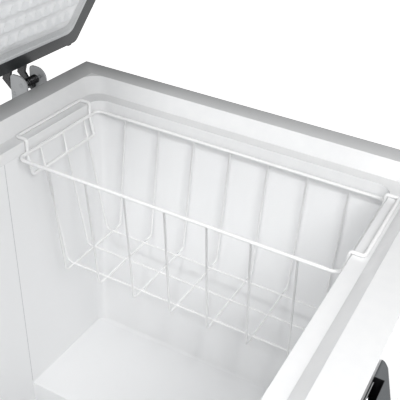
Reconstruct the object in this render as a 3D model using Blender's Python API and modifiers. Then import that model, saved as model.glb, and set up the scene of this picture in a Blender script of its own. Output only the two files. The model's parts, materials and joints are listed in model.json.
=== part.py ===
"""Chest freezer with an open lid, a hanging wire basket and a front lock. Metres, +Z up."""

import math

import bmesh
import bpy
from mathutils import Matrix, Vector

# Driving dimensions
LENGTH = 1.12
DEPTH = 0.66
RIM_HEIGHT = 0.80
LID_HEIGHT = 0.058
LID_OPEN = math.radians(62)

# Clearance between touching pieces
GAP = 0.0003

# Cabinet
SHEET = 0.0012
SKIRT = 0.002
BASE_HEIGHT = 0.030
COLLAR_WALL = 0.0025
FLANGE = 0.038
FRONT_EXTRA = 0.005
BAND_RUN = 0.019
BAND_DROP = 0.021
LEDGE = 0.021
LIP_DROP = 0.019
SKIRT_DROP = 0.018
LINER_WALL = 0.0016
LINER_DRAFT = math.radians(2.7)
LINER_FLOOR = 0.100
FLANGE_CORNER = 0.030
LIP_CORNER = 0.022
CORNER_LOW = 0.020
STEP_HEIGHT = 0.331
STEP_LENGTH = 0.303
STEP_SKIN = 0.055
BAY_LENGTH = 0.225
BAY_WALL = 0.060

# Hinge
PIVOT_BACK = 0.0269
PIVOT_DROP = 0.0112
HINGE_INSET = 0.1335
HINGE_WIDTH = 0.050
HINGE_DEPTH = 0.033
HINGE_ABOVE = 0.021
HINGE_BELOW = 0.085
CHEEK = 0.0035
PIN_RADIUS = 0.003
BARREL_RADIUS = 0.0062
FORK_ARM = 0.006
LEAF_WIDTH = 0.073
LEAF_HEIGHT = 0.044
LEAF_SHEET = 0.003
SPRING_BACK = 0.0115
SPRING_RISE = 0.0065
SPRING_RADIUS = 0.0062
SPRING_WIRE = 0.0014
SPRING_TURNS = 7

# Lid
GASKET = 0.003
LID_SETBACK = 0.012
LID_CORNER = 0.008
LID_FLANGE = 0.034
LID_SHEET = 0.0015
SEAL_WIDTH = 0.024
SEAL_SHEET = 0.0012
PANEL_DROP = 0.012
PANEL_SLOPE = 0.024
LID_OPENING_CORNER = 0.013
PANEL_CORNER = 0.013

# Basket
RIM_WIRE = 0.0026
BASKET_WIRE = 0.0016
BASKET_SIDE_GAP = 0.007
BASKET_WIDTH = 0.197
BASKET_FRONT_GAP = 0.005
BASKET_DEPTH = 0.239
CROSS_WIRES = 7
CROSS_MARGIN = 0.054

# Front lock housing
LOCK_WIDTH = 0.290
LOCK_DEPTH = 0.035
LOCK_HEIGHT = 0.075
SLOT_WIDTH = 0.230
SLOT_DEPTH = 0.010

# Fittings
FOOT_RADIUS = 0.021
FOOT_INSET = 0.060
GRILLE_LENGTH = 0.300
GRILLE_HEIGHT = 0.150
KNOB_RADIUS = 0.014
DRAIN_RADIUS = 0.010

HALF_X = LENGTH / 2
HALF_Y = DEPTH / 2
STEP_FACE = HALF_X - STEP_LENGTH
BAY_FACE = HALF_X - BAY_LENGTH
BAY_TOP = STEP_HEIGHT - STEP_SKIN
LEDGE_OFFSET = FLANGE + BAND_RUN
LIP_OFFSET = LEDGE_OFFSET + LEDGE
BASKET_FROM_RIGHT = LIP_OFFSET + BASKET_SIDE_GAP
BASKET_END_GAP = LIP_OFFSET + BASKET_FRONT_GAP
LEDGE_HEIGHT = RIM_HEIGHT - BAND_DROP
LINER_TOP = LEDGE_HEIGHT - COLLAR_WALL - 3 * GAP
WRAP_OFFSET = SKIRT + GAP
PIVOT = Vector((0, HALF_Y + PIVOT_BACK, RIM_HEIGHT - PIVOT_DROP))
LID_BASE = RIM_HEIGHT + GASKET + GAP

for old in list(bpy.data.objects):
    bpy.data.objects.remove(old)
PARTS = bpy.data.collections.new("chest_freezer")
CUTTERS = bpy.data.collections.new("cutters")
for group in (PARTS, CUTTERS):
    bpy.context.scene.collection.children.link(group)
CUTTERS.hide_render = True


def material(name, colour, roughness, metallic=0.0):
    found = bpy.data.materials.new(name)
    found.use_nodes = True
    shader = found.node_tree.nodes["Principled BSDF"]
    shader.inputs["Base Color"].default_value = (*colour, 1)
    shader.inputs["Roughness"].default_value = roughness
    shader.inputs["Metallic"].default_value = metallic
    return found


WHITE_STEEL = material("white_steel", (0.86, 0.87, 0.87), 0.35)
WHITE_PLASTIC = material("white_plastic", (0.84, 0.85, 0.85), 0.30)
LINER_WHITE = material("liner_white", (0.80, 0.82, 0.83), 0.40)
WIRE_WHITE = material("wire_white", (0.90, 0.90, 0.90), 0.35)
GREY_PLASTIC = material("grey_plastic", (0.20, 0.21, 0.22), 0.45)
DARK_GREY = material("dark_grey", (0.09, 0.095, 0.10), 0.45)
PALE_GREY = material("pale_grey", (0.50, 0.51, 0.52), 0.45)
BLACK = material("black", (0.02, 0.02, 0.02), 0.35)
RUBBER = material("rubber", (0.03, 0.03, 0.03), 0.75)
GASKET_WHITE = material("gasket_white", (0.74, 0.75, 0.76), 0.60)
STEEL = material("steel", (0.62, 0.62, 0.62), 0.25, 1.0)
GALVANISED = material("galvanised", (0.50, 0.52, 0.54), 0.45, 1.0)
COPPER = material("copper", (0.72, 0.36, 0.20), 0.30, 1.0)
FOAM = material("foam", (0.80, 0.72, 0.45), 0.90)
GREEN = material("green_lamp", (0.05, 0.60, 0.12), 0.20)
RED = material("red_lamp", (0.70, 0.04, 0.03), 0.20)
AMBER = material("amber_lamp", (0.80, 0.40, 0.03), 0.20)


def pivot(name, place):
    """An empty that carries the pieces of one moving body on its joint's axis."""
    empty = bpy.data.objects.new(name, None)
    empty.empty_display_size = 0.03
    empty.location = place
    PARTS.objects.link(empty)
    return empty


FREEZER = pivot("freezer_frame", (0, 0, 0))
LID = pivot("lid_axis", PIVOT)


def add(name, mesh, surface, parent=None, origin=(0, 0, 0)):
    """Link a mesh modelled in cabinet coordinates, with its origin moved to a joint's axis."""
    carrier = parent or FREEZER
    obj = bpy.data.objects.new(name, mesh)
    mesh.transform(Matrix.Translation(-Vector(origin)))
    if surface:
        mesh.materials.append(surface)
        PARTS.objects.link(obj)
    else:
        obj.display_type = "WIRE"
        obj.hide_render = True
        CUTTERS.objects.link(obj)
    obj.parent = carrier
    obj.location = Vector(origin) - (carrier.location if carrier is not FREEZER else Vector())
    return obj


def mesh_of(name, bm):
    bmesh.ops.recalc_face_normals(bm, faces=bm.faces)
    mesh = bpy.data.meshes.new(name)
    bm.to_mesh(mesh)
    bm.free()
    return mesh


def bevel(obj, width, segments=2):
    step = obj.modifiers.new("rounded", "BEVEL")
    step.width = width
    step.segments = segments
    step.limit_method = "ANGLE"
    return obj


def cut(obj, *tools, operation="DIFFERENCE"):
    for tool in tools:
        step = obj.modifiers.new(tool.name, "BOOLEAN")
        step.operation = operation
        step.object = tool
    return obj


def box(name, low, high, surface, parent=None, origin=(0, 0, 0), round_to=0.0):
    bm = bmesh.new()
    bmesh.ops.create_cube(bm, size=1)
    bmesh.ops.scale(bm, vec=Vector(high) - Vector(low), verts=bm.verts)
    bmesh.ops.translate(bm, vec=(Vector(high) + Vector(low)) / 2, verts=bm.verts)
    obj = add(name, mesh_of(name, bm), surface, parent, origin)
    return bevel(obj, round_to) if round_to else obj


def rod(name, start, end, radius, surface, parent=None, origin=(0, 0, 0), sides=20, end_radius=None):
    """A cylinder, or a cone with end_radius, from start to end."""
    start, end = Vector(start), Vector(end)
    bm = bmesh.new()
    turn = (end - start).to_track_quat("Z", "Y").to_matrix().to_4x4()
    bmesh.ops.create_cone(
        bm,
        cap_ends=True,
        segments=sides,
        radius1=radius,
        radius2=radius if end_radius is None else end_radius,
        depth=(end - start).length,
        matrix=Matrix.Translation((start + end) / 2) @ turn,
    )
    mesh = mesh_of(name, bm)
    mesh.shade_smooth()
    mesh.set_sharp_from_angle(angle=math.radians(35))
    return add(name, mesh, surface, parent, origin)


def arc(centre, radius, first, last, steps):
    """Points on an arc in a plane, angles in degrees."""
    turns = [math.radians(first + (last - first) * i / steps) for i in range(steps + 1)]
    return [(centre[0] + radius * math.cos(t), centre[1] + radius * math.sin(t)) for t in turns]


def rounded_outline(half_x, low_y, high_y, radius, steps=8):
    """A rectangle with round corners, anticlockwise from its front right."""
    near, far = half_x - radius, radius
    corners = (
        ((near, low_y + far), -90),
        ((near, high_y - far), 0),
        ((-near, high_y - far), 90),
        ((-near, low_y + far), 180),
    )
    return [p for centre, first in corners for p in arc(centre, radius, first, first + 90, steps)]


def plan(offset, radius, front=0.0):
    """The cabinet's plan outline, stepped in by an offset."""
    return rounded_outline(HALF_X - offset, -HALF_Y + offset + front, HALF_Y - offset, radius)


def loft(name, rings, surface, parent=None, origin=(0, 0, 0), closed=False):
    """Skin rings of equal count, each an outline and its height. A closed loft is a frame."""
    bm = bmesh.new()
    rows = [[bm.verts.new((x, y, z)) for x, y in outline] for outline, z in rings]
    pairs = list(zip(rows, rows[1:]))
    if closed:
        pairs.append((rows[-1], rows[0]))
    for lower, upper in pairs:
        for i in range(len(lower)):
            j = (i + 1) % len(lower)
            bm.faces.new((lower[i], lower[j], upper[j], upper[i]))
    if not closed:
        bm.faces.new(rows[0])
        bm.faces.new(rows[-1])
    return add(name, mesh_of(name, bm), surface, parent, origin)


def prism(name, outline, axis, low, high, surface, parent=None, origin=(0, 0, 0)):
    """A flat outline extruded along X, Y or Z. It is in (Y, Z), (X, Z) or (X, Y)."""
    place = {
        "X": lambda p, q, along: (along, p, q),
        "Y": lambda p, q, along: (p, along, q),
        "Z": lambda p, q, along: (p, q, along),
    }[axis]
    bm = bmesh.new()
    face = bm.faces.new([bm.verts.new(place(p, q, low)) for p, q in outline])
    grown = bmesh.ops.extrude_face_region(bm, geom=[face])
    moved = [v for v in grown["geom"] if isinstance(v, bmesh.types.BMVert)]
    bmesh.ops.translate(bm, vec=Vector(place(0, 0, high)) - Vector(place(0, 0, low)), verts=moved)
    return add(name, mesh_of(name, bm), surface, parent, origin)


def wire(name, points, radius, surface, parent=None, origin=(0, 0, 0), cyclic=False):
    """A round wire through the points, as a mesh with welded caps."""
    curve = bpy.data.curves.new(name, "CURVE")
    curve.dimensions = "3D"
    curve.bevel_depth = radius
    curve.bevel_resolution = 2
    curve.use_fill_caps = True
    spline = curve.splines.new("POLY")
    spline.points.add(len(points) - 1)
    for point, place in zip(spline.points, points):
        point.co = (*place, 1)
    spline.use_cyclic_u = cyclic
    guide = bpy.data.objects.new(name + "_guide", curve)
    PARTS.objects.link(guide)
    graph = bpy.context.evaluated_depsgraph_get()
    mesh = bpy.data.meshes.new_from_object(guide.evaluated_get(graph))
    bpy.data.objects.remove(guide)
    bm = bmesh.new()
    bm.from_mesh(mesh)
    bmesh.ops.remove_doubles(bm, verts=bm.verts, dist=0.00001)
    mesh = mesh_of(name, bm)
    mesh.shade_smooth()
    mesh.set_sharp_from_angle(angle=math.radians(50))
    return add(name, mesh, surface, parent, origin)


def bent(corners, radius, steps=4):
    """A path through corner points with each inner corner rounded."""
    points = [Vector(c) for c in corners]
    path = [points[0]]
    for before, corner, after in zip(points, points[1:], points[2:]):
        first = (before - corner).normalized()
        last = (after - corner).normalized()
        half = first.angle(last) / 2
        reach = min(radius / math.tan(half), (before - corner).length / 2, (after - corner).length / 2)
        for i in range(steps + 1):
            t = i / steps
            start = corner + first * reach
            end = corner + last * reach
            path.append(start * (1 - t) ** 2 + corner * 2 * t * (1 - t) + end * t**2)
    path.append(points[-1])
    return path


def liner_offset(height):
    """How far the drafted liner wall stands in from the cabinet's plan at a height."""
    start = LIP_OFFSET - COLLAR_WALL - GAP - LIP_DROP * math.tan(LINER_DRAFT)
    return start + (LINER_TOP - height) * math.tan(LINER_DRAFT)


def tub(name, grow, floor, top):
    """The liner's drafted shape as a cutter, grown outwards by a wall or a clearance."""
    rings = []
    for height, radius in ((floor, CORNER_LOW), (top, LIP_CORNER + COLLAR_WALL)):
        offset = liner_offset(height) - grow
        rings.append((plan(offset, radius + grow, FRONT_EXTRA), height))
    return loft(name, rings, None)


def step_block(name, shrink, rounding=0.0):
    """The raised floor over the compressor bay, as a cutter."""
    low = (STEP_FACE + shrink, -DEPTH, 0)
    high = (LENGTH, DEPTH, STEP_HEIGHT - shrink)
    return box(name, low, high, None, round_to=rounding)


def make_collar():
    top, shelf, foot = RIM_HEIGHT, LEDGE_HEIGHT, LEDGE_HEIGHT - LIP_DROP
    wall = COLLAR_WALL
    profile = (
        (0, top, 0.002, 0),
        (FLANGE, top, FLANGE_CORNER, FRONT_EXTRA),
        (LEDGE_OFFSET, shelf, LIP_CORNER + 0.004, FRONT_EXTRA),
        (LIP_OFFSET, shelf, LIP_CORNER, FRONT_EXTRA),
        (LIP_OFFSET, foot, LIP_CORNER, FRONT_EXTRA),
        (LIP_OFFSET - wall, foot, LIP_CORNER + wall, FRONT_EXTRA),
        (LIP_OFFSET - wall, shelf - wall, LIP_CORNER + wall, FRONT_EXTRA),
        (LEDGE_OFFSET - wall, shelf - wall, LIP_CORNER + 0.004 + wall, FRONT_EXTRA),
        (FLANGE - wall, top - wall, FLANGE_CORNER + wall, FRONT_EXTRA),
        (SKIRT, top - wall, 0.0005, 0),
        (SKIRT, top - SKIRT_DROP, 0.0005, 0),
        (0, top - SKIRT_DROP, 0.002, 0),
    )
    rings = [(plan(offset, radius, front), z) for offset, z, radius, front in profile]
    loft("top_collar", rings, WHITE_PLASTIC, closed=True)


def make_liner():
    outer_floor = LINER_FLOOR - LINER_WALL
    rings = []
    for height, radius in ((outer_floor, CORNER_LOW), (LINER_TOP, LIP_CORNER + COLLAR_WALL)):
        offset = liner_offset(height) - LINER_WALL
        rings.append((plan(offset, radius + LINER_WALL, FRONT_EXTRA), height))
    liner = loft("inner_liner", rings, LINER_WHITE)
    cavity = tub("liner_cavity", 0, LINER_FLOOR, LINER_TOP + 0.01)
    cut(cavity, step_block("liner_step", 0, rounding=0.004))
    cut(liner, step_block("liner_step_under", LINER_WALL), cavity)
    hole = DRAIN_RADIUS + GAP
    x, y = drain_place()
    cut(liner, rod("liner_drain", (x, y, 0), (x, y, LINER_FLOOR + 0.01), hole, None))


def drain_place():
    return -HALF_X + 0.170, -HALF_Y + 0.150


def make_foam():
    inset = WRAP_OFFSET + SHEET + GAP
    low = (-HALF_X + inset, -HALF_Y + inset, BASE_HEIGHT + SHEET + GAP)
    high = (HALF_X - inset, HALF_Y - inset, LINER_TOP)
    foam = box("insulation_foam", low, high, FOAM)
    grow = LINER_WALL + GAP
    space = tub("foam_cavity", grow, LINER_FLOOR - grow, LINER_TOP + 0.01)
    cut(space, step_block("foam_step", grow))
    bay_low = (BAY_FACE, -HALF_Y + BAY_WALL, 0)
    bay = box("foam_bay", bay_low, (LENGTH, DEPTH, BAY_TOP), None)
    x, y = drain_place()
    hole = rod("foam_drain", (x, y, 0), (x, y, LINER_FLOOR), DRAIN_RADIUS + GAP, None)
    cut(foam, space, bay, hole)


def grille_span():
    centre = BAY_WALL / 2
    low = BASE_HEIGHT + 0.030
    return centre - GRILLE_LENGTH / 2, centre + GRILLE_LENGTH / 2, low, low + GRILLE_HEIGHT


def make_shell():
    x, y, t = HALF_X - WRAP_OFFSET, HALF_Y - WRAP_OFFSET, SHEET
    back = y - t - GAP
    outline = [(-x, back), (-x, -y), (x, -y), (x, back)]
    outline += [(x - t, back), (x - t, -y + t), (-x + t, -y + t), (-x + t, back)]
    top = RIM_HEIGHT - COLLAR_WALL - GAP
    wrap = prism("outer_wrap", outline, "Z", BASE_HEIGHT, top, WHITE_STEEL)
    y0, y1, z0, z1 = grille_span()
    margin = 0.012
    opening = box("wrap_vent", (x - 0.01, y0 + margin, z0 + margin), (LENGTH, y1 - margin, z1 - margin), None)
    cut(wrap, opening)
    panel = box("back_panel", (-x, y - t, BASE_HEIGHT), (x, y, top), GALVANISED)
    for i in range(8):
        z = BASE_HEIGHT + 0.050 + i * 0.018
        cut(panel, box(f"back_slot_{i}", (BAY_FACE + 0.03, y - 0.01, z), (x - 0.03, y + 0.01, z + 0.008), None))
    inner_x, inner_y = x - t - GAP, y - t - GAP
    pan = box("base_pan", (-inner_x, -inner_y, BASE_HEIGHT), (inner_x, inner_y, BASE_HEIGHT + t), GALVANISED)
    dx, dy = drain_place()
    cut(pan, rod("pan_drain", (dx, dy, 0), (dx, dy, LINER_FLOOR), DRAIN_RADIUS + GAP, None))


def make_feet():
    for sx, xname in ((-1, "left"), (1, "right")):
        for sy, yname in ((-1, "front"), (1, "back")):
            x, y = sx * (HALF_X - FOOT_INSET), sy * (HALF_Y - FOOT_INSET)
            top = (x, y, BASE_HEIGHT - GAP)
            foot = rod(f"foot_{yname}_{xname}", (x, y, 0), top, FOOT_RADIUS, RUBBER, end_radius=FOOT_RADIUS * 1.2)
            bevel(foot, 0.0015)


def make_grille():
    y0, y1, z0, z1 = grille_span()
    skin = HALF_X - WRAP_OFFSET + GAP
    grille = box("side_vent_grille", (skin, y0, z0), (HALF_X, y1, z1), GREY_PLASTIC)
    for i in range(8):
        z = z0 + 0.020 + i * 0.0145
        slot = box(f"vent_slot_{i}", (skin - 0.01, y0 + 0.02, z), (LENGTH, y1 - 0.02, z + 0.007), None)
        cut(grille, slot)


def circle(centre, radius, steps=24):
    return arc(centre, radius, 0, 360 - 360 / steps, steps - 1)


def make_compressor():
    x, y = (BAY_FACE + HALF_X) / 2, 0.060
    floor = BASE_HEIGHT + SHEET
    plate_low = floor + 0.022
    for sx in (-1, 1):
        for sy in (-1, 1):
            name = f"grommet_{'front' if sy < 0 else 'back'}_{'left' if sx < 0 else 'right'}"
            spot = (x + sx * 0.075, y + sy * 0.080)
            rings = [(circle(spot, r, 16), floor + z) for r, z in ((0.011, GAP), (0.011, 0.008), (0.008, 0.011))]
            rings += [(circle(spot, 0.011, 16), floor + 0.014), (circle(spot, 0.011, 16), plate_low - GAP)]
            loft(name, rings, RUBBER)
    plate_top = plate_low + 0.003
    box("compressor_plate", (x - 0.095, y - 0.100, plate_low), (x + 0.095, y + 0.100, plate_top), GALVANISED)
    shape = ((0.062, 0.0), (0.076, 0.012), (0.078, 0.050), (0.083, 0.052), (0.083, 0.057))
    shape += ((0.078, 0.059), (0.076, 0.090), (0.064, 0.112), (0.040, 0.124), (0.012, 0.128))
    base = plate_top + GAP
    loft("compressor", [(circle((x, y), r, 28), base + z) for r, z in shape], BLACK)
    box("start_relay_box", (x - 0.030, y - 0.118, base + 0.012), (x + 0.030, y - 0.086, base + 0.048), DARK_GREY, round_to=0.003)
    ceiling = BAY_TOP - 2 * GAP
    pipe_y = HALF_Y - 0.060
    dome = y + 0.078 + 2 * GAP + 0.001
    suction = [(x - 0.020, dome, base + 0.030), (x - 0.020, pipe_y, base + 0.030), (x - 0.020, pipe_y, ceiling)]
    wire("suction_pipe", bent(suction, 0.015), 0.004, COPPER)
    low = base + 0.080
    discharge = [(x + 0.020, dome, low), (x + 0.020, pipe_y, low), (x + 0.060, pipe_y, low), (x + 0.060, pipe_y, low + 0.030)]
    wire("discharge_pipe", bent(discharge, 0.012), 0.003, COPPER)
    start = low + 0.030 + GAP
    spot = (x + 0.060, pipe_y)
    drier = ((0.003, 0), (0.009, 0.008), (0.009, 0.048), (0.003, 0.056), (0.003, ceiling - start))
    loft("filter_drier", [(circle(spot, r, 16), start + z) for r, z in drier], COPPER)


def make_controls():
    skin = -HALF_Y + WRAP_OFFSET - GAP
    face = skin - 0.007
    x, z = HALF_X - 0.115, BASE_HEIGHT + 0.105
    bezel = box("control_bezel", (x - 0.080, face, z - 0.045), (x + 0.080, skin, z + 0.045), GREY_PLASTIC, round_to=0.002)
    for i, (name, colour) in enumerate((("power", GREEN), ("alarm", RED), ("fast_freeze", AMBER))):
        lamp_x = x + 0.010 + i * 0.022
        inner = face + 0.003
        cut(bezel, rod(f"lamp_hole_{i}", (lamp_x, face - 0.01, z), (lamp_x, inner, z), 0.004 + GAP, None, sides=16))
        lamp = rod(f"{name}_lamp", (lamp_x, inner - GAP, z), (lamp_x, face - 0.001, z), 0.004, colour, sides=16)
        lamp.data.shade_flat()
    knob_x = x - 0.040
    centre = (knob_x, face, z)
    near, far = face - GAP, face - 0.012
    knob = rod("thermostat_knob", (knob_x, near, z), (knob_x, far, z), KNOB_RADIUS, PALE_GREY, origin=centre)
    ridge = box("knob_ridge", (knob_x - 0.003, far - 0.004, z - 0.012), (knob_x + 0.003, near - 0.003, z + 0.012), None, origin=centre)
    cut(knob, ridge, operation="UNION")


def make_drain():
    x, y = drain_place()
    top = LINER_FLOOR - LINER_WALL - GAP
    low = BASE_HEIGHT - 0.010
    outer, inner = DRAIN_RADIUS, DRAIN_RADIUS - 0.002
    ring = ((outer, low), (outer, top), (inner, top), (inner, low))
    loft("drain_tube", [(circle((x, y), r), z) for r, z in ring], WHITE_PLASTIC, closed=True)
    stem = inner - 0.001
    shape = ((stem, top - 0.012), (stem, LINER_FLOOR + GAP), (0.017, LINER_FLOOR + GAP), (0.017, LINER_FLOOR + 0.003))
    shape += ((0.006, LINER_FLOOR + 0.005), (0.006, LINER_FLOOR + 0.012), (0.009, LINER_FLOOR + 0.014), (0.009, LINER_FLOOR + 0.018))
    loft("drain_plug", [(circle((x, y), r), z) for r, z in shape], GREY_PLASTIC, origin=(x, y, LINER_FLOOR))
    sleeve = outer + GAP
    cap = ((0.014, low - 0.003), (0.014, BASE_HEIGHT - 0.001), (sleeve, BASE_HEIGHT - 0.001), (sleeve, low - GAP), (0.001, low - GAP))
    spots = [(circle((x, y), r), z) for r, z in cap]
    loft("drain_cap", [(circle((x, y), 0.001), low - 0.003)] + spots, GREY_PLASTIC, origin=(x, y, low))


def make_inlet():
    x, z = BAY_FACE + 0.020, BASE_HEIGHT + 0.075
    skin = HALF_Y - WRAP_OFFSET + GAP
    gland = rod("power_inlet_gland", (x, skin, z), (x, skin + 0.016, z), 0.012, BLACK, end_radius=0.009)
    cut(gland, rod("gland_bore", (x, skin - 0.01, z), (x, skin + 0.03, z), 0.004, None, sides=16))


def bow(reach):
    """Half the plan outline of the lock housing, as (distance from centre, protrusion)."""
    half = LOCK_WIDTH / 2
    return [(half, 0), (half * 0.985, 0.16 * reach), (half * 0.94, 0.30 * reach), (half * 0.62, 0.76 * reach)] + [
        (half * (0.54 - 0.54 * i / 4), reach * (0.83 + 0.17 * math.sin(math.pi / 2 * i / 4))) for i in range(5)
    ]


def mirrored(half):
    """A left half added to a right half whose last point lies on the centre line."""
    return half + [(-x, y) for x, y in reversed(half[:-1])]


def make_lock():
    skin = -HALF_Y + WRAP_OFFSET - GAP
    top = RIM_HEIGHT - SKIRT_DROP - 2 * GAP
    low = top - LOCK_HEIGHT
    outline = [(x, skin - y) for x, y in mirrored(bow(LOCK_DEPTH))]
    housing = prism("lock_housing", outline, "Z", low, top, GREY_PLASTIC)
    bevel(housing, 0.003)
    slot_back = skin - 0.002
    slot_front = slot_back - SLOT_DEPTH
    half = SLOT_WIDTH / 2
    slot_low = top - 0.050
    cut(housing, box("latch_slot", (-half, slot_front, slot_low), (half, slot_back, top + 0.01), None))
    keeper_y = slot_back - GAP
    box("latch_keeper", (-half + 0.004, keeper_y - 0.0015, slot_low + 0.004), (half - 0.004, keeper_y, top - 0.003), STEEL)
    z = top - 0.030
    nose = skin - LOCK_DEPTH - 0.003
    cylinder_back = slot_front + 0.0015
    axis = (0, nose, z)
    cut(housing, rod("cylinder_bore", (0, nose - 0.01, z), (0, slot_front + 0.001, z), 0.009 + GAP, None))
    cylinder = rod("lock_cylinder", (0, nose, z), (0, cylinder_back, z), 0.009, STEEL, origin=axis)
    cut(cylinder, box("keyway", (-0.0013, nose - 0.01, z - 0.004), (0.0013, nose + 0.016, z + 0.004), None, origin=axis))
    cam_y = cylinder_back + GAP
    box("lock_cam", (-0.006, cam_y, z - 0.007), (0.017, cam_y + 0.0015, z + 0.007), STEEL, origin=axis)
    key_tip = nose + 0.015
    key = box("lock_key", (-0.0010, nose - 0.006, z - 0.0036), (0.0010, key_tip, z + 0.0036), STEEL, origin=axis)
    grip = rod("key_grip", (-0.0011, nose - 0.015, z), (0.0011, nose - 0.015, z), 0.011, None, origin=axis)
    cut(key, grip, operation="UNION")


def lid_plan(offset, radius):
    """The lid's plan outline, stepped in by an offset. Its back edge stands in from the cabinet's."""
    return rounded_outline(HALF_X - offset, -HALF_Y + offset, HALF_Y - LID_SETBACK - offset, radius)


def make_lid():
    base, top = LID_BASE, LID_BASE + LID_HEIGHT
    wall = 0.0025
    lip = 0.010
    frame = (
        (0, base, LID_CORNER),
        (LID_FLANGE, base, LID_OPENING_CORNER),
        (LID_FLANGE, base + wall, LID_OPENING_CORNER),
        (wall, base + wall, LID_CORNER - wall),
        (wall, top - wall, LID_CORNER - wall),
        (lip, top - wall, 0.004),
        (lip, top, 0.004),
        (0, top, LID_CORNER),
    )
    held = {"parent": LID, "origin": PIVOT}
    loft("lid_frame", [(lid_plan(o, r), z) for o, z, r in frame], DARK_GREY, closed=True, **held)
    edge = lip + GAP
    skin = ((edge, top - LID_SHEET), (edge, top), (edge + 0.050, top + 0.003))
    loft("lid_top_skin", [(lid_plan(o, 0.004), z) for o, z in skin], WHITE_STEEL, **held)
    inset = wall + GAP
    foam = ((inset, base + inset), (inset, top - inset))
    loft("lid_foam", [(lid_plan(o, LID_CORNER - wall), z) for o, z in foam], FOAM, **held)
    outer, inner = LID_FLANGE + GAP, LID_FLANGE + SEAL_WIDTH
    bead_out, bead_in = outer + 0.006, outer + 0.010
    tip = RIM_HEIGHT + GAP
    gasket = (
        (outer, base, LID_OPENING_CORNER),
        (outer, base - SEAL_SHEET, LID_OPENING_CORNER),
        (bead_out, base - SEAL_SHEET, 0.012),
        (bead_out + 0.001, tip, 0.012),
        (bead_in - 0.001, tip, 0.012),
        (bead_in, base - SEAL_SHEET, 0.012),
        (inner, base - SEAL_SHEET, PANEL_CORNER),
        (inner, base, PANEL_CORNER),
    )
    loft("lid_gasket", [(lid_plan(o, r), z) for o, z, r in gasket], GASKET_WHITE, closed=True, **held)
    border = inner + GAP
    panel = (
        (outer, base + wall, LID_OPENING_CORNER),
        (outer, base + GAP, LID_OPENING_CORNER),
        (border, base + GAP, PANEL_CORNER),
        (border, base - SEAL_SHEET, PANEL_CORNER),
        (border + PANEL_SLOPE, base - PANEL_DROP, 0.016),
    )
    loft("lid_inner_panel", [(lid_plan(o, r), z) for o, z, r in panel], WHITE_PLASTIC, **held)
    back = HALF_Y - LID_SETBACK + GAP
    for side, name in ((-1, "left"), (1, "right")):
        x = side * (HALF_X - 0.014)
        low, high = (x - 0.005, back, base + 0.001), (x + 0.005, back + 0.005, base + 0.009)
        box(f"corner_bumper_{name}", low, high, RUBBER, round_to=0.0015, **held)


def make_handle():
    held = {"parent": LID, "origin": PIVOT}
    skin = -HALF_Y - GAP
    low, high = LID_BASE + 0.004, LID_BASE + 0.034
    outline = [(x * 0.9, skin - y) for x, y in mirrored(bow(LOCK_DEPTH * 0.8))]
    handle = prism("lid_handle", outline, "Z", low, high, GREY_PLASTIC, **held)
    bevel(handle, 0.003, 1)
    reach = LOCK_WIDTH * 0.26
    cut(handle, box("finger_recess", (-reach, skin - 0.022, low - 0.01), (reach, skin - 0.010, low + 0.018), None, **held))
    hook_low = LEDGE_HEIGHT - 0.020
    front = -HALF_Y + WRAP_OFFSET - GAP - 0.0082
    hook = box("latch_hook", (-0.018, front, hook_low), (0.018, front + 0.002, low - GAP), STEEL, **held)
    cut(hook, box("hook_eye", (-0.009, front - 0.01, hook_low + 0.006), (0.009, front + 0.01, hook_low + 0.016), None, **held))


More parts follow.
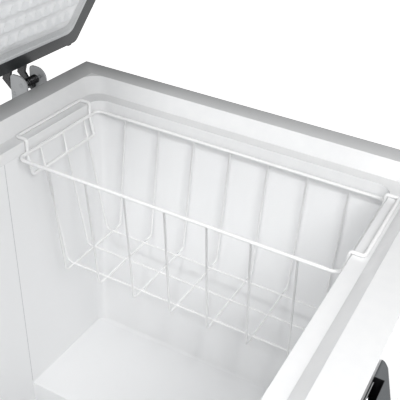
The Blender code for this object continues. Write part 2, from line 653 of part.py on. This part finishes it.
def make_hinge(side, name):
    """A cover with two cheeks on the cabinet, a counterbalance spring, and a forked lid bracket."""
    x = side * (HALF_X - HINGE_INSET)
    half = HINGE_WIDTH / 2
    y, z = PIVOT.y, PIVOT.z
    front, back = HALF_Y + GAP, HALF_Y + HINGE_DEPTH
    low, top = RIM_HEIGHT - HINGE_BELOW, RIM_HEIGHT + HINGE_ABOVE
    turn = HINGE_ABOVE * 0.85
    cheek = [(front, low), (back, low), (back, top - 0.006)]
    cheek += arc((back - 0.006, top - 0.006), 0.006, 0, 90, 4)[1:]
    cheek += arc((front + turn, top - turn), turn, 90, 180, 8)
    cover = prism(f"hinge_cover_{name}", cheek, "X", x - half, x - half + CHEEK, PALE_GREY)
    other = prism(f"second_cheek_{name}", cheek, "X", x + half - CHEEK, x + half, None)
    plate_low = (x - half, HALF_Y - WRAP_OFFSET + GAP, low)
    plate_high = (x + half, front + 0.010, RIM_HEIGHT - SKIRT_DROP - 0.001)
    plate = box(f"hinge_plate_{name}", plate_low, plate_high, None)
    cut(cover, other, plate, operation="UNION")
    bore = PIN_RADIUS + GAP
    spring_y, spring_z = HALF_Y + SPRING_BACK, RIM_HEIGHT + SPRING_RISE
    outside = half + 0.01
    cut(cover, rod(f"cover_bore_{name}", (x - outside, y, z), (x + outside, y, z), bore, None))
    ends = ((x - outside, spring_y, spring_z), (x + outside, spring_y, spring_z))
    cut(cover, rod(f"guide_bore_{name}", *ends, bore, None))
    rod(f"hinge_pin_{name}", (x - half, y, z), (x + half, y, z), PIN_RADIUS, STEEL)
    rod(f"spring_guide_{name}", (x - half, spring_y, spring_z), (x + half, spring_y, spring_z), PIN_RADIUS, STEEL)
    held = {"parent": LID, "origin": PIVOT}
    reach = half - CHEEK - 2 * GAP
    rear = HALF_Y - LID_SETBACK + GAP
    leaf_low = (x - LEAF_WIDTH / 2, rear, LID_BASE + 0.004)
    leaf_high = (x + LEAF_WIDTH / 2, rear + LEAF_SHEET, LID_BASE + LEAF_HEIGHT)
    bracket = box(f"hinge_bracket_{name}", leaf_low, leaf_high, DARK_GREY, **held)
    arm_top = LID_BASE + 0.024
    arm = [(y, z - BARREL_RADIUS * 0.9), (y + BARREL_RADIUS * 0.9, z), (y - 0.002, z + BARREL_RADIUS + 0.026)]
    arm += [(rear + LEAF_SHEET, arm_top), (rear + 0.001, arm_top), (rear + 0.001, arm_top - 0.012)]
    arm += [(y - 0.012, z + BARREL_RADIUS + 0.014)]
    for end in (-1, 1):
        outer, inner = x + end * reach, x + end * (reach - FORK_ARM)
        span = sorted((outer, inner))
        tag = f"{name}_{'out' if end > 0 else 'in'}"
        knuckle = rod(f"knuckle_{tag}", (outer, y, z), (inner, y, z), BARREL_RADIUS, None, **held)
        web = prism(f"fork_{tag}", arm, "X", span[0] + 0.0005, span[1] - 0.0005, None, **held)
        cut(bracket, web, knuckle, operation="UNION")
    eye = rod(f"knuckle_bore_{name}", (x - outside, y, z), (x + outside, y, z), bore, None, **held)
    cut(bracket, eye)
    first, last = x - reach + FORK_ARM + 0.003, x + reach - FORK_ARM - 0.003
    steps = SPRING_TURNS * 10
    coil = []
    for i in range(steps + 1):
        angle = math.tau * SPRING_TURNS * i / steps
        across, up = SPRING_RADIUS * math.cos(angle), SPRING_RADIUS * math.sin(angle)
        coil.append((first + (last - first) * i / steps, spring_y + across, spring_z + up))
    wire(f"hinge_spring_{name}", coil, SPRING_WIRE, BLACK)


def make_basket():
    right = HALF_X - BASKET_FROM_RIGHT
    left = right - BASKET_WIDTH
    back, front = HALF_Y - BASKET_END_GAP, -HALF_Y + BASKET_END_GAP + FRONT_EXTRA
    rim = RIM_HEIGHT - 0.039
    floor = RIM_HEIGHT - BASKET_DEPTH
    half_x, middle = BASKET_WIDTH / 2, (left + right) / 2
    outline = rounded_outline(half_x, front, back, 0.012)
    held = {"origin": (middle, 0, rim)}
    basket = wire("wire_basket", [(middle + x, y, rim) for x, y in outline], RIM_WIRE, WIRE_WHITE, cyclic=True, **held)
    parts = []
    pitch = (back - front - 2 * CROSS_MARGIN) / (CROSS_WIRES - 1)
    for i in range(CROSS_WIRES):
        y = front + CROSS_MARGIN + i * pitch
        path = [(right, y, rim), (right - 0.013, y, floor), (left + 0.031, y, floor), (left, y, rim)]
        parts.append(wire(f"cross_wire_{i}", bent(path, 0.008), BASKET_WIRE, None, **held))
    over = floor + 1.5 * BASKET_WIRE
    knee = RIM_HEIGHT - 0.072
    for i in range(3):
        x = left + 0.050 + i * 0.0545
        path = [(x, back, rim), (x, back - 0.007, knee), (x, back - 0.044, over)]
        path += [(x, front + 0.044, over), (x, front + 0.007, knee), (x, front, rim)]
        parts.append(wire(f"long_wire_{i}", bent(path, 0.010), BASKET_WIRE, None, **held))
    shelf = LEDGE_HEIGHT + RIM_WIRE + GAP
    for side, end in ((1, back), (-1, front)):
        x0, x1 = left + 0.022, right - 0.020
        top = end + side * 0.020
        over_lip = end + side * 0.0015
        low_y = end - side * 0.007
        low_z = RIM_HEIGHT - 0.0735
        side_path = [(top, shelf), (over_lip, shelf), (over_lip, rim - 0.004), (low_y, low_z)]
        path = [((x0 + x1) / 2, top, shelf)] + [(x1, y, z) for y, z in side_path]
        path += [(x0, y, z) for y, z in reversed(side_path)] + [((x0 + x1) / 2, top, shelf)]
        points = bent(path, 0.004, 3)[:-1]
        parts.append(wire(f"hanger_{'back' if side > 0 else 'front'}", points, RIM_WIRE, None, cyclic=True, **held))
    cut(basket, *parts, operation="UNION")


def centre_on_origin():
    """Stand the finished object on Z = 0 with the middle of its plan box at the origin."""
    bpy.context.view_layer.update()
    graph = bpy.context.evaluated_depsgraph_get()
    corners = []
    for obj in PARTS.objects:
        if obj.type != "MESH":
            continue
        solid = obj.evaluated_get(graph)
        corners += [solid.matrix_world @ vertex.co for vertex in solid.data.vertices]
    low = Vector([min(c[i] for c in corners) for i in range(3)])
    high = Vector([max(c[i] for c in corners) for i in range(3)])
    FREEZER.location = (-(low.x + high.x) / 2, -(low.y + high.y) / 2, -low.z)


make_shell()
make_foam()
make_liner()
make_collar()
make_feet()
make_grille()
make_compressor()
make_controls()
make_drain()
make_inlet()
make_lock()
make_lid()
make_handle()
make_hinge(1, "right")
make_hinge(-1, "left")
make_basket()
LID.parent = FREEZER
LID.rotation_euler.x = -LID_OPEN
centre_on_origin()
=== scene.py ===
import json
import math

import bpy
from mathutils import Matrix, Vector


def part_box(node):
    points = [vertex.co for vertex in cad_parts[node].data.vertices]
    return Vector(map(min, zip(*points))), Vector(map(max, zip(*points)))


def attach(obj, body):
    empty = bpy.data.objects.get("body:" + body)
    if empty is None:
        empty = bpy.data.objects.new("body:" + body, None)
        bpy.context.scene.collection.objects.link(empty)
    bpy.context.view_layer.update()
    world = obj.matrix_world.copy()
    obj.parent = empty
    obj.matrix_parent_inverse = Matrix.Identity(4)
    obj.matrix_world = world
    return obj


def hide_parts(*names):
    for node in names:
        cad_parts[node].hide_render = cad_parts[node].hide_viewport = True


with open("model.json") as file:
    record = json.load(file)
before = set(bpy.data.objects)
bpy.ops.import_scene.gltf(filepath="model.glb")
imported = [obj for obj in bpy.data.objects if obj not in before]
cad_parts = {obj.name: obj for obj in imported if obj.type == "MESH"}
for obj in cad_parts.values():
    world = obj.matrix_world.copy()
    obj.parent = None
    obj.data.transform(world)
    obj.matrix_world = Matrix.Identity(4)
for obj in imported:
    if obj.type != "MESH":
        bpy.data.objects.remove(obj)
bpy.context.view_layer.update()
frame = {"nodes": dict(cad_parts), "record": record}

# ---- Viewpoint -----------------------------------------------------------------------------
# A person's view over the right end, looking down the inside of the back wall to the hinge.
# It is placed from the back right corner of the rim.
rim_low, rim_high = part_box("top_collar")
camera = bpy.data.objects.new("viewpoint", bpy.data.cameras.new("viewpoint"))
camera.location = rim_high + Vector((-0.9828, -0.7229, 0.4914))
camera.rotation_euler = [math.radians(angle) for angle in (57.561, -3.615, -61.580)]
camera.data.lens = 65.71
camera.data.sensor_width = 36
camera.data.clip_start = 0.02
bpy.context.scene.collection.objects.link(camera)
bpy.context.scene.camera = camera

# ---- Room ----------------------------------------------------------------------------------
# A pale floor in even surroundings. One large soft lamp is set low at the front left, a small one
# higher up casts the basket's shadows, and a weak one lights the inside of the well.
bpy.ops.object.select_all(action="DESELECT")
bpy.ops.mesh.primitive_plane_add(size=30, location=(0, 0, 0))
floor = bpy.context.object
floor.name = "floor"
floor_finish = bpy.data.materials.new("pale_floor")
floor_finish.use_nodes = True
floor_shader = floor_finish.node_tree.nodes["Principled BSDF"]
floor_shader.inputs["Base Color"].default_value = (0.9, 0.9, 0.9, 1)
floor_shader.inputs["Roughness"].default_value = 0.8
floor_shader.inputs["Emission Color"].default_value = (1, 1, 1, 1)
floor_shader.inputs["Emission Strength"].default_value = 0.9
floor.data.materials.append(floor_finish)

world = bpy.data.worlds.new("pale_surroundings")
bpy.context.scene.world = world
world.use_nodes = True
background = world.node_tree.nodes["Background"]
background.inputs["Color"].default_value = (1, 1, 1, 1)
seen_directly = world.node_tree.nodes.new("ShaderNodeLightPath")
sky_strength = world.node_tree.nodes.new("ShaderNodeMapRange")
sky_strength.inputs["To Min"].default_value = 0.28
sky_strength.inputs["To Max"].default_value = 1.0
world.node_tree.links.new(seen_directly.outputs["Is Camera Ray"], sky_strength.inputs["Value"])
world.node_tree.links.new(sky_strength.outputs["Result"], background.inputs["Strength"])
bpy.context.scene.view_settings.view_transform = "Standard"


def soft_lamp(name, place, aim, width, watts):
    lamp = bpy.data.objects.new(name, bpy.data.lights.new(name, "AREA"))
    lamp.data.shape = "SQUARE"
    lamp.data.size = width
    lamp.data.energy = watts
    lamp.visible_camera = False
    lamp.location = place
    lamp.rotation_euler = (Vector(aim) - Vector(place)).to_track_quat("-Z", "Y").to_euler()
    bpy.context.scene.collection.objects.link(lamp)


for name, place, aim, width, watts in (
    ("key_lamp", (-1.05, -1.25, 0.95), (-0.3, -0.3, -0.3), 0.8, 15),
    ("shadow_lamp", (-1.2, -0.5, 1.5), (-0.2, -0.3, -0.2), 0.16, 7.5),
    ("well_lamp", (-0.95, -0.50, -0.12), (-0.1, -0.2, -0.45), 0.22, 0.45),
):
    soft_lamp(name, rim_high + Vector(place), rim_high + Vector(aim), width, watts)


# ---- Outer wrap, lid skin and back sheet ------------------------------------------------------
# Powder-coated steel sheet with a faint orange peel, folded round the front and sides and pressed
# for the lid. The back, the base and the compressor's plate are bare galvanised sheet.
def finish(name, colour, roughness, metallic=0.0, coat=0.0, **extra):
    """A material with its shader, for the section's own nodes to be plugged into."""
    made = bpy.data.materials.new(name)
    made.use_nodes = True
    shader = made.node_tree.nodes["Principled BSDF"]
    shader.inputs["Base Color"].default_value = (*colour, 1)
    shader.inputs["Roughness"].default_value = roughness
    shader.inputs["Metallic"].default_value = metallic
    shader.inputs["Coat Weight"].default_value = coat
    for socket, value in extra.items():
        shader.inputs[socket.replace("_", " ")].default_value = value
    return made


def node_in(made, kind, **values):
    node = made.node_tree.nodes.new(kind)
    for key, value in values.items():
        if hasattr(node, key):
            setattr(node, key, value)
        else:
            node.inputs[key.replace("_", " ")].default_value = value
    return node


def grain(made, scale, height, spread=0.0, detail=3.0, stretch=(1, 1, 1)):
    """Bump and a little variation of roughness from one noise on the piece's own coordinates."""
    tree = made.node_tree
    shader = tree.nodes["Principled BSDF"]
    place = tree.nodes.new("ShaderNodeTexCoord")
    turn = node_in(made, "ShaderNodeMapping", Scale=stretch)
    noise = node_in(made, "ShaderNodeTexNoise", Scale=scale, Detail=detail)
    bump = node_in(made, "ShaderNodeBump", Strength=1.0, Distance=height)
    tree.links.new(place.outputs["Object"], turn.inputs["Vector"])
    tree.links.new(turn.outputs["Vector"], noise.inputs["Vector"])
    tree.links.new(noise.outputs["Fac"], bump.inputs["Height"])
    tree.links.new(bump.outputs["Normal"], shader.inputs["Normal"])
    if spread:
        base = shader.inputs["Roughness"].default_value
        span = node_in(made, "ShaderNodeMapRange", To_Min=base - spread, To_Max=base + spread)
        tree.links.new(noise.outputs["Fac"], span.inputs["Value"])
        tree.links.new(span.outputs["Result"], shader.inputs["Roughness"])
    return noise


def shade(made, noise, low, high, first=0.35, last=0.65):
    """Colour that drifts between two values with the section's noise."""
    tree = made.node_tree
    ramp = tree.nodes.new("ShaderNodeValToRGB")
    ramp.color_ramp.elements[0].position = first
    ramp.color_ramp.elements[1].position = last
    ramp.color_ramp.elements[0].color = (*low, 1)
    ramp.color_ramp.elements[1].color = (*high, 1)
    tree.links.new(noise.outputs["Fac"], ramp.inputs["Fac"])
    tree.links.new(ramp.outputs["Color"], tree.nodes["Principled BSDF"].inputs["Base Color"])


white_coat = finish("white_powder_coat", (0.70, 0.71, 0.71), 0.32, coat=0.25)
shade(white_coat, grain(white_coat, 900, 0.00004, 0.05), (0.69, 0.70, 0.70), (0.72, 0.73, 0.73))

zinc = finish("galvanised_sheet", (0.5, 0.52, 0.54), 0.42, metallic=1.0)
shade(zinc, grain(zinc, 55, 0.00003, 0.10, detail=1.0), (0.38, 0.40, 0.42), (0.58, 0.60, 0.62), 0.3, 0.7)


def dressed(node, made, edge=0.0, segments=3, angle=35):
    """The part's own shape as a finished piece: doubles merged, edges rounded if asked, shaded smooth."""
    source = frame["nodes"][node]
    bpy.ops.object.select_all(action="DESELECT")
    piece = source.copy()
    piece.data = source.data.copy()
    piece.name = node + "_finished"
    piece.parent = None
    bpy.context.scene.collection.objects.link(piece)
    bpy.context.view_layer.objects.active = piece
    piece.select_set(True)
    bpy.ops.object.mode_set(mode="EDIT")
    bpy.ops.mesh.select_all(action="SELECT")
    bpy.ops.mesh.remove_doubles(threshold=0.00002)
    bpy.ops.mesh.dissolve_limited(angle_limit=math.radians(1.0))
    bpy.ops.object.mode_set(mode="OBJECT")
    if edge:
        rounding = piece.modifiers.new("rounded", "BEVEL")
        rounding.width = edge
        rounding.segments = segments
        rounding.limit_method = "ANGLE"
        rounding.angle_limit = math.radians(angle)
        bpy.ops.object.modifier_apply(modifier=rounding.name)
    bpy.ops.object.shade_smooth_by_angle(angle=math.radians(angle))
    if edge:
        levelled = piece.modifiers.new("level_normals", "WEIGHTED_NORMAL")
        levelled.keep_sharp = True
        levelled.weight = 100
        bpy.ops.object.modifier_apply(modifier=levelled.name)
    piece.data.materials.clear()
    piece.data.materials.append(made)
    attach(piece, body_of[node])
    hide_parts(node)
    return piece


body_of = {}
for body, members in frame["record"]["behaviour"]["bodies"].items():
    for member in members:
        body_of[member] = body

for node in ("outer_wrap", "lid_top_skin"):
    dressed(node, white_coat, edge=0.0008)
for node in ("back_panel", "base_pan", "compressor_plate"):
    dressed(node, zinc, edge=0.0003)

# ---- Insulation -----------------------------------------------------------------------------
# Rigid polyurethane foam blown between the wrap and the liner and inside the lid, with the
# open, slightly blotchy grain of a cut block where it can be seen in the compressor bay.
foam = finish("cut_foam", (0.82, 0.74, 0.46), 0.92)
shade(foam, grain(foam, 350, 0.0006, 0.04, detail=6), (0.72, 0.62, 0.34), (0.88, 0.80, 0.52))
for node in ("insulation_foam", "lid_foam"):
    dressed(node, foam)

# ---- Collar ---------------------------------------------------------------------------------
# One injection-moulded white frame clipped over the wrap: a flat flange for the seal, a sloping
# band, a ledge that carries the basket, and a lip that covers the liner's edge. Painted shade: the
# level flange along the back and the right end is darkened, most of all at their corner and outer edge.
collar_gloss = finish("moulded_white_gloss", (0.86, 0.86, 0.86), 0.22, coat=0.35)
shade(collar_gloss, grain(collar_gloss, 60, 0.00001, 0.03), (0.85, 0.855, 0.86), (0.87, 0.873, 0.875))
tree = collar_gloss.node_tree
where = node_in(collar_gloss, "ShaderNodeSeparateXYZ")
spot = node_in(collar_gloss, "ShaderNodeTexCoord")
tree.links.new(spot.outputs["Object"], where.inputs["Vector"])
flange_width = 0.038
# Painted shade on the level flange fades out over this distance from the back right corner.
painted_shade_reach = 0.75
rims = []
for axis, edge in (("X", rim_high.x), ("Y", rim_high.y)):
    across = node_in(collar_gloss, "ShaderNodeMapRange", From_Min=edge - flange_width, From_Max=edge)
    tree.links.new(where.outputs[axis], across.inputs["Value"])
    rims.append(across)
outer = node_in(collar_gloss, "ShaderNodeMath", operation="MAXIMUM")
for i, across in enumerate(rims):
    tree.links.new(across.outputs["Result"], outer.inputs[i])
level_top = node_in(collar_gloss, "ShaderNodeMapRange")
level_top.inputs["From Min"].default_value = rim_high.z - 0.0012
level_top.inputs["From Max"].default_value = rim_high.z - 0.0002
tree.links.new(where.outputs["Z"], level_top.inputs["Value"])
apart = node_in(collar_gloss, "ShaderNodeVectorMath", operation="DISTANCE")
apart.inputs[1].default_value = rim_high
tree.links.new(spot.outputs["Object"], apart.inputs[0])
nearness = node_in(collar_gloss, "ShaderNodeMapRange", From_Max=painted_shade_reach, To_Min=0.72, To_Max=0.30)
tree.links.new(apart.outputs["Value"], nearness.inputs["Value"])
# Painted shade, darker towards the flange's outer edge.
outer_edge_shade = node_in(collar_gloss, "ShaderNodeMapRange", To_Min=0.35, To_Max=1.0)
tree.links.new(outer.outputs["Value"], outer_edge_shade.inputs["Value"])
on_rim = node_in(collar_gloss, "ShaderNodeMath", operation="GREATER_THAN")
on_rim.inputs[1].default_value = 0.001
tree.links.new(outer.outputs["Value"], on_rim.inputs[0])
amount = outer_edge_shade.outputs["Result"]
for factor in (level_top.outputs["Result"], nearness.outputs["Result"], on_rim.outputs["Value"]):
    product = node_in(collar_gloss, "ShaderNodeMath", operation="MULTIPLY")
    tree.links.new(amount, product.inputs[0])
    tree.links.new(factor, product.inputs[1])
    amount = product.outputs["Value"]
# Painted shade: dark grey mixed over the flange's own white.
painted_shade_mix = node_in(collar_gloss, "ShaderNodeMix", data_type="RGBA")
painted_shade_mix.inputs[7].default_value = (0.16, 0.165, 0.17, 1)
body_colour = tree.nodes["Principled BSDF"].inputs["Base Color"].links[0].from_socket
tree.links.new(amount, painted_shade_mix.inputs[0])
tree.links.new(body_colour, painted_shade_mix.inputs[6])
tree.links.new(painted_shade_mix.outputs[2], tree.nodes["Principled BSDF"].inputs["Base Color"])
dressed("top_collar", collar_gloss, edge=0.0012, angle=25)

# ---- Liner ----------------------------------------------------------------------------------
# Painted aluminium tub with drafted walls, folded up over the compressor as a raised floor. A
# fine fold runs up the walls where the sheet turns over the step; its shade is painted as a thin grey
# line.
def within(made, low, high):
    """1 inside a box of the piece's own coordinates and 0 outside it."""
    tree = made.node_tree
    spot = node_in(made, "ShaderNodeTexCoord")
    where = node_in(made, "ShaderNodeSeparateXYZ")
    tree.links.new(spot.outputs["Object"], where.inputs["Vector"])
    inside = None
    for i, axis in enumerate("XYZ"):
        for test, limit in (("GREATER_THAN", low[i]), ("LESS_THAN", high[i])):
            passed = node_in(made, "ShaderNodeMath", operation=test)
            passed.inputs[1].default_value = limit
            tree.links.new(where.outputs[axis], passed.inputs[0])
            if inside is None:
                inside = passed.outputs["Value"]
                continue
            both = node_in(made, "ShaderNodeMath", operation="MULTIPLY")
            tree.links.new(inside, both.inputs[0])
            tree.links.new(passed.outputs["Value"], both.inputs[1])
            inside = both.outputs["Value"]
    return inside


def recolour(made, amount, colour):
    """Mix a second colour over the material's own by an amount."""
    tree = made.node_tree
    target = tree.nodes["Principled BSDF"].inputs["Base Color"]
    mixed = node_in(made, "ShaderNodeMix", data_type="RGBA")
    tree.links.new(amount, mixed.inputs[0])
    tree.links.new(target.links[0].from_socket, mixed.inputs[6])
    mixed.inputs[7].default_value = (*colour, 1)
    tree.links.new(mixed.outputs[2], target)


liner_paint = finish("liner_paint", (0.88, 0.885, 0.89), 0.38, coat=0.10)
shade(liner_paint, grain(liner_paint, 700, 0.00003, 0.04), (0.875, 0.88, 0.885), (0.89, 0.895, 0.90))
step_length = 0.303
step_top = 0.336
fold_half = 0.0006
fold_x = rim_high.x - step_length
# Painted shade: a thin grey line up the walls where the fold is.
fold_shade_line = within(liner_paint, (fold_x - fold_half, -1, step_top), (fold_x + fold_half, 1, rim_high.z))
recolour(liner_paint, fold_shade_line, (0.55, 0.56, 0.57))
dressed("inner_liner", liner_paint, angle=25)

# ---- Basket ---------------------------------------------------------------------------------
# Spot-welded steel wire dipped in white plastic, which fills the welds with small fillets.
dipped = finish("dipped_white", (0.93, 0.93, 0.93), 0.30, coat=0.20)
shade(dipped, grain(dipped, 260, 0.00005, 0.05), (0.92, 0.92, 0.92), (0.95, 0.95, 0.95))
dressed("wire_basket", dipped, angle=60)

# ---- Lid frame, seal and inner panel -----------------------------------------------------------
# Dark grey moulded surround, a soft white seal with a raised bead, and a vacuum-formed panel.
surround = finish("surround_dark_grey", (0.026, 0.029, 0.031), 0.38, Specular_IOR_Level=0.18)
shade(surround, grain(surround, 1400, 0.00006, 0.05), (0.023, 0.026, 0.028), (0.030, 0.033, 0.035))
dressed("lid_frame", surround, edge=0.0012, angle=25)
seal = finish("soft_seal", (0.58, 0.59, 0.60), 0.55)
shade(seal, grain(seal, 300, 0.00005, 0.05), (0.56, 0.57, 0.58), (0.61, 0.62, 0.63))
dressed("lid_gasket", seal, edge=0.0009, angle=25)
formed = finish("vacuum_formed_white", (0.78, 0.79, 0.80), 0.30, coat=0.15)
grain(formed, 500, 0.00003, 0.04)
dressed("lid_inner_panel", formed, edge=0.002, angle=15)

# ---- Formed pattern of the inner panel ----------------------------------------------------------
# Rows of shallow pressed pyramids with rounded feet, as a thin formed sheet on the panel's flat. It
# is laid out with the lid shut and then turned up with it about the hinge.
cell_along = 0.021
cell_across = 0.031
cell_rise = 0.0066
plain_border = 0.008
lid_opening = math.radians(62)
hinge = next(joint for joint in frame["record"]["behaviour"]["joints"] if joint["name"] == "lid_hinge")
hinge_place = Matrix.Translation(Vector(hinge["pos_m"]))
opened = hinge_place @ Matrix.Rotation(-lid_opening, 4, "X") @ hinge_place.inverted()
panel_points = [opened.inverted() @ v.co for v in frame["nodes"]["lid_inner_panel"].data.vertices]
level = min(point.z for point in panel_points)
flat = [point for point in panel_points if point.z < level + 0.0005]
flat_low = Vector([min(point[i] for point in flat) for i in range(3)])
flat_high = Vector([max(point[i] for point in flat) for i in range(3)])
span = (flat_high - flat_low) - Vector((plain_border, plain_border, 0))
cells = (round(span.x / cell_along), round(span.y / cell_across))
bpy.ops.object.select_all(action="DESELECT")
bpy.ops.mesh.primitive_grid_add(x_subdivisions=cells[0] * 6, y_subdivisions=cells[1] * 8, size=1)
pillows = bpy.context.object
pillows.name = "lid_panel_pillows"
middle = (flat_low + flat_high) / 2
for vertex in pillows.data.vertices:
    across, along = (vertex.co.x + 0.5) * cells[0], (vertex.co.y + 0.5) * cells[1]
    u, v = 2 * (across % 1) - 1, 2 * (along % 1) - 1
    ridge = 1 - max(abs(u), abs(v)) / 0.86
    dome = 1 - (abs(u) ** 2.6 + abs(v) ** 2.6) / 0.80
    rise = cell_rise * max(0.0, min(ridge * 1.1, dome * 1.3))
    x, y = middle.x + vertex.co.x * span.x, middle.y + vertex.co.y * span.y
    vertex.co = Vector((x, y, level - 0.0005 - rise))
pillows.data.transform(opened)
sheet = pillows.modifiers.new("sheet", "SOLIDIFY")
sheet.thickness = 0.0004
sheet.offset = 0
bpy.ops.object.modifier_apply(modifier=sheet.name)
bpy.ops.object.shade_smooth_by_angle(angle=math.radians(14))
pillows.data.materials.append(formed)
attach(pillows, "lid")

# ---- Grey mouldings ---------------------------------------------------------------------------
# Lid handle, vent grille, control bezel, drain plug and drain cap in mid grey spark-textured
# plastic. The drain tube is white, like the collar.
moulded = finish("spark_textured_grey", (0.12, 0.127, 0.132), 0.45)
shade(moulded, grain(moulded, 1800, 0.00008, 0.06), (0.11, 0.117, 0.122), (0.13, 0.137, 0.142))
for node in ("lid_handle", "side_vent_grille", "control_bezel", "drain_plug", "drain_cap"):
    dressed(node, moulded, edge=0.0005)
dressed("drain_tube", collar_gloss, edge=0.0002)

# ---- Lock and key -----------------------------------------------------------------------------
# Housing whose slot is painted near black inside as shade, and in it a chromed keeper with a row
# of domed rivets; the hook, cam, barrel and key are chromed too.
keeper_low, keeper_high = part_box("latch_keeper")
housing_grey = moulded.copy()
housing_grey.name = "housing_grey_painted_slot_shade"
slot_margin = 0.0045
slot_depth = 0.0102
slot_low = keeper_low - Vector((slot_margin, 0, slot_margin))
slot_high = keeper_high + Vector((slot_margin, 0.0012, 0.01))
slot_low.y = keeper_high.y - slot_depth
# Painted shade: the inside of the slot is coloured near black.
recolour(housing_grey, within(housing_grey, slot_low, slot_high), (0.006, 0.006, 0.007))
dressed("lock_housing", housing_grey, edge=0.0005)
chrome = finish("bright_chrome", (0.72, 0.73, 0.74), 0.12, metallic=1.0)
grain(chrome, 420, 0.00002, 0.04, stretch=(1, 1, 12))
for node in ("latch_keeper", "latch_hook", "lock_cylinder", "lock_cam", "lock_key"):
    dressed(node, chrome, edge=0.0003)
bpy.ops.object.select_all(action="DESELECT")
rivet_count = 6
for i in range(rivet_count):
    rivet_x = keeper_low.x + (keeper_high.x - keeper_low.x) * (i + 0.5) / rivet_count
    rivet_place = (rivet_x, keeper_low.y, keeper_high.z - 0.007)
    bpy.ops.mesh.primitive_uv_sphere_add(segments=24, ring_count=12, radius=0.0032, location=rivet_place)
    bpy.context.object.scale = (1, 0.6, 1)
    if i:
        bpy.data.objects["keeper_rivets"].select_set(True)
        bpy.context.view_layer.objects.active = bpy.data.objects["keeper_rivets"]
        bpy.ops.object.join()
    else:
        bpy.context.object.name = "keeper_rivets"
        bpy.ops.object.transform_apply(location=True, rotation=True, scale=True)
rivets = bpy.data.objects["keeper_rivets"]
bpy.ops.object.shade_smooth()
rivets.data.materials.append(chrome)
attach(rivets, "cabinet")

# ---- Hinges -----------------------------------------------------------------------------------
# Pale grey cover on the back, plated pin and spring guide, black coil spring and dark lid bracket.
cover_grey = finish("hinge_cover_grey", (0.42, 0.43, 0.44), 0.42)
shade(cover_grey, grain(cover_grey, 1500, 0.00006, 0.05), (0.40, 0.41, 0.42), (0.45, 0.46, 0.47))
dull_steel = finish("dull_plated_steel", (0.36, 0.37, 0.38), 0.45, metallic=0.7)
grain(dull_steel, 500, 0.00003, 0.06)
spring_black = finish("oiled_spring_steel", (0.06, 0.06, 0.063), 0.16, metallic=0.9)
grain(spring_black, 500, 0.00003, 0.05)
bracket_black = finish("bracket_black_coat", (0.018, 0.019, 0.021), 0.28)
grain(bracket_black, 900, 0.00004, 0.05)
for side in ("left", "right"):
    dressed(f"hinge_cover_{side}", cover_grey, edge=0.0008)
    dressed(f"hinge_pin_{side}", dull_steel, edge=0.0004)
    dressed(f"spring_guide_{side}", dull_steel, edge=0.0004)
    dressed(f"hinge_spring_{side}", spring_black, angle=60)
    dressed(f"hinge_bracket_{side}", bracket_black, edge=0.0004)

# ---- Rubber ------------------------------------------------------------------------------------
# Feet, lid corner bumpers and compressor grommets.
rubber = finish("black_rubber", (0.025, 0.025, 0.026), 0.72)
shade(rubber, grain(rubber, 600, 0.0001, 0.06), (0.02, 0.02, 0.021), (0.035, 0.035, 0.036))
feet = [f"foot_{end}_{side}" for end in ("front", "back") for side in ("left", "right")]
grommets = [f"grommet_{end}_{side}" for end in ("front", "back") for side in ("left", "right")]
for node in feet + grommets + ["corner_bumper_left", "corner_bumper_right"]:
    dressed(node, rubber, edge=0.0005)

# ---- Compressor and pipes ------------------------------------------------------------------------
# Welded steel can in black enamel, a plastic relay box, copper pipes and a copper filter drier. The
# power inlet's gland has the can's gloss black.
enamel = finish("black_enamel", (0.02, 0.02, 0.021), 0.25, coat=0.4)
grain(enamel, 120, 0.00006, 0.05)
dressed("compressor", enamel, edge=0.001)
dressed("power_inlet_gland", enamel, edge=0.0004)
dressed("start_relay_box", surround, edge=0.0005)
copper = finish("drawn_copper", (0.72, 0.36, 0.20), 0.28, metallic=1.0)
shade(copper, grain(copper, 80, 0.00003, 0.08), (0.50, 0.22, 0.12), (0.78, 0.42, 0.25))
for node in ("suction_pipe", "discharge_pipe", "filter_drier"):
    dressed(node, copper)

# ---- Controls ------------------------------------------------------------------------------------
# Thermostat knob and three indicator lamps in the bezel.
dressed("thermostat_knob", cover_grey, edge=0.0005)
for node, slot_name, colour in (
    ("power_lamp", "green_lamp", (0.05, 0.60, 0.12)),
    ("alarm_lamp", "red_lamp", (0.70, 0.04, 0.03)),
    ("fast_freeze_lamp", "amber_lamp", (0.80, 0.40, 0.03)),
):
    lens = finish(node + "_lens", colour, 0.12, coat=0.5)
    grain(lens, 900, 0.00002, 0.03)
    dressed(node, lens, edge=0.0004)
